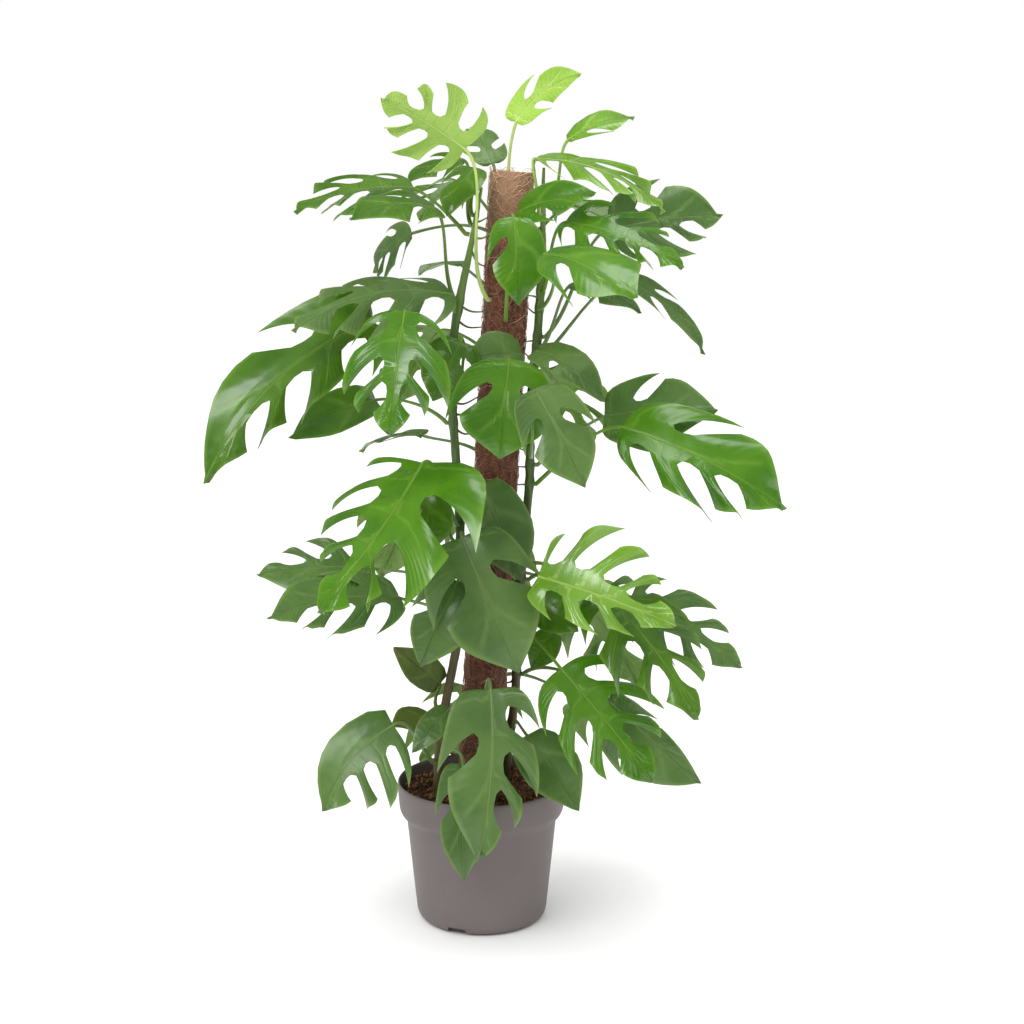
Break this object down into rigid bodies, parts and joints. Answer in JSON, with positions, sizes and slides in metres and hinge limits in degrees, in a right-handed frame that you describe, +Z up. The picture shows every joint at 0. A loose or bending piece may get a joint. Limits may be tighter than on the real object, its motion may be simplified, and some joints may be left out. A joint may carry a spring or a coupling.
{
  "type": "mini monstera",
  "caption": "Climbing aroid house plant with split leaves, grown up a coir pole in a round tapered nursery pot.",
  "frame": {"origin": "centre of the pot's flat base, on the floor", "axes": "+Z up along the plant, -Y towards the viewer of the picture, +X to that viewer's right"},
  "size_m": [0.6102, 0.3795, 0.9473],
  "materials": {
    "pot": "satin moulded plastic",
    "soil": "loose potting mix",
    "coir": "rough coir fibre",
    "stake": "plain timber",
    "stem": "green bark",
    "leaf_young": "soft new leaf",
    "leaf_light": "glossy light leaf",
    "leaf_bright": "glossy leaf",
    "leaf_mid": "satin leaf",
    "leaf_matte": "dull leaf",
    "leaf_olive": "old leaf"
  },
  "bodies": {
    "root": {"pot": "pot", "soil": "soil", "coir_pole": "coir", "pole_stake": "stake", "stem_left": "stem", "stem_right": "stem", "stem_back": "stem", "leaf_left_01": "leaf_young", "leaf_left_02": "leaf_mid", "leaf_left_03": "leaf_mid", "leaf_left_04": "leaf_mid", "leaf_left_05": "leaf_mid", "leaf_left_06": "leaf_matte", "leaf_left_07": "leaf_matte", "leaf_left_08": "leaf_matte", "leaf_left_09": "leaf_bright", "leaf_left_10": "leaf_mid", "leaf_left_11": "leaf_mid", "leaf_left_12": "leaf_mid", "leaf_left_13": "leaf_matte", "leaf_left_14": "leaf_bright", "leaf_left_15": "leaf_mid", "leaf_left_16": "leaf_matte", "leaf_left_17": "leaf_matte", "leaf_left_18": "leaf_matte", "leaf_left_19": "leaf_olive", "leaf_left_20": "leaf_matte", "leaf_left_21": "leaf_matte", "leaf_left_22": "leaf_olive", "leaf_left_23": "leaf_matte", "leaf_front_01": "leaf_bright", "leaf_front_02": "leaf_matte", "leaf_front_03": "leaf_bright", "leaf_front_04": "leaf_matte", "leaf_front_05": "leaf_matte", "leaf_front_06": "leaf_matte", "leaf_right_01": "leaf_young", "leaf_right_02": "leaf_light", "leaf_right_03": "leaf_light", "leaf_right_04": "leaf_matte", "leaf_right_05": "leaf_bright", "leaf_right_06": "leaf_bright", "leaf_right_07": "leaf_matte", "leaf_right_08": "leaf_bright", "leaf_right_09": "leaf_matte", "leaf_right_10": "leaf_matte", "leaf_right_11": "leaf_matte", "leaf_right_12": "leaf_matte", "leaf_right_13": "leaf_matte", "leaf_right_14": "leaf_bright", "leaf_right_15": "leaf_light", "leaf_right_16": "leaf_mid", "leaf_right_17": "leaf_mid", "leaf_right_18": "leaf_matte", "leaf_right_19": "leaf_mid", "leaf_right_20": "leaf_bright", "leaf_right_21": "leaf_matte", "leaf_right_22": "leaf_matte"}
  },
  "joints": []
}
